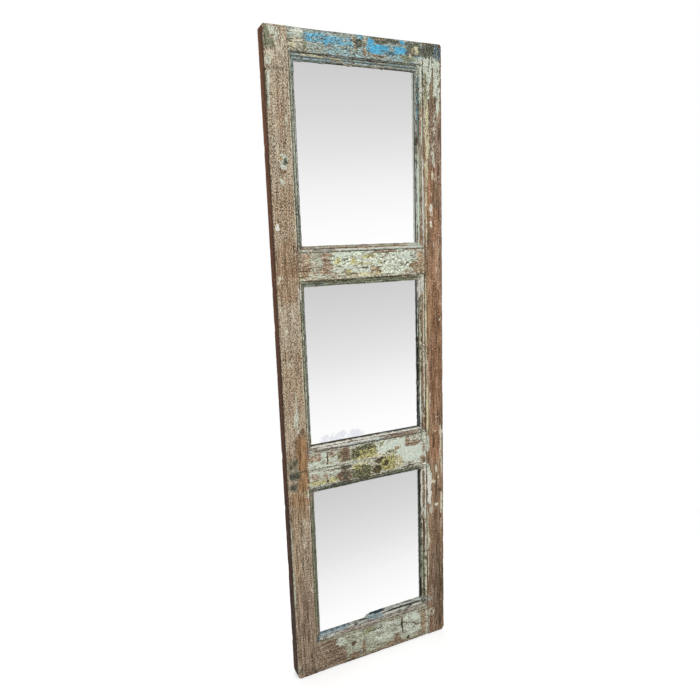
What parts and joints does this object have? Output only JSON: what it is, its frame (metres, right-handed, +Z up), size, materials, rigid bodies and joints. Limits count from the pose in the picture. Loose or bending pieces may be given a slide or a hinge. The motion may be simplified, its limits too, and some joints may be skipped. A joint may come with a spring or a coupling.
{
  "type": "panel wall mirror",
  "caption": "Tall narrow wall mirror: a weathered panelled door frame with moulded edges holds three mirror panes, one above another, and hangs on two D-rings.",
  "frame": {"origin": "middle of the underside of the frame, halfway through its thickness", "axes": "+X to the viewer's right, +Y from the front face towards the wall, +Z up"},
  "size_m": [0.513, 0.0513, 1.804],
  "materials": {
    "weathered_timber": "old hardwood, worn bare in places, with remains of mint, cream and blue paint",
    "mirror_glass": "clear silvered glass",
    "backing_board": "plain brown plywood",
    "batten_timber": "planed softwood, unfinished",
    "peg_timber": "dark grey-green filled end grain",
    "zinc_plated_steel": "dull zinc plate"
  },
  "bodies": {
    "frame": {"stile_left": "weathered_timber", "stile_right": "weathered_timber", "rail_top": "weathered_timber", "rail_upper_mid": "weathered_timber", "rail_lower_mid": "weathered_timber", "rail_bottom": "weathered_timber", "mirror_pane_top": "mirror_glass", "mirror_pane_middle": "mirror_glass", "mirror_pane_bottom": "mirror_glass", "backing_board_top": "backing_board", "backing_board_middle": "backing_board", "backing_board_bottom": "backing_board", "batten_top_upper": "batten_timber", "batten_top_lower": "batten_timber", "batten_top_left": "batten_timber", "batten_top_right": "batten_timber", "batten_middle_upper": "batten_timber", "batten_middle_lower": "batten_timber", "batten_middle_left": "batten_timber", "batten_middle_right": "batten_timber", "batten_bottom_upper": "batten_timber", "batten_bottom_lower": "batten_timber", "batten_bottom_left": "batten_timber", "batten_bottom_right": "batten_timber", "peg_top_left_1": "peg_timber", "peg_top_left_2": "peg_timber", "peg_top_right_1": "peg_timber", "peg_top_right_2": "peg_timber", "peg_upper_mid_left_1": "peg_timber", "peg_upper_mid_left_2": "peg_timber", "peg_upper_mid_right_1": "peg_timber", "peg_upper_mid_right_2": "peg_timber", "peg_lower_mid_left_1": "peg_timber", "peg_lower_mid_left_2": "peg_timber", "peg_lower_mid_left_3": "peg_timber", "peg_lower_mid_right_1": "peg_timber", "peg_lower_mid_right_2": "peg_timber", "peg_bottom_left_1": "peg_timber", "peg_bottom_left_2": "peg_timber", "peg_bottom_right_1": "peg_timber", "peg_bottom_right_2": "peg_timber", "hanger_strap_left": "zinc_plated_steel", "hanger_strap_right": "zinc_plated_steel", "hanger_screw_left_1": "zinc_plated_steel", "hanger_screw_left_2": "zinc_plated_steel", "hanger_screw_right_1": "zinc_plated_steel", "hanger_screw_right_2": "zinc_plated_steel"},
    "ring_left": {"hanger_ring_left": "zinc_plated_steel"},
    "ring_right": {"hanger_ring_right": "zinc_plated_steel"}
  },
  "joints": [
    {"name": "ring_left_swing", "type": "hinge", "parent": "frame", "child": "ring_left", "pos_m": [-0.2225, 0.0258, 1.504], "axis": [1, 0, 0], "range_deg": [0, 175]},
    {"name": "ring_right_swing", "type": "hinge", "parent": "frame", "child": "ring_right", "pos_m": [0.2225, 0.0258, 1.504], "axis": [1, 0, 0], "range_deg": [0, 175]}
  ]
}
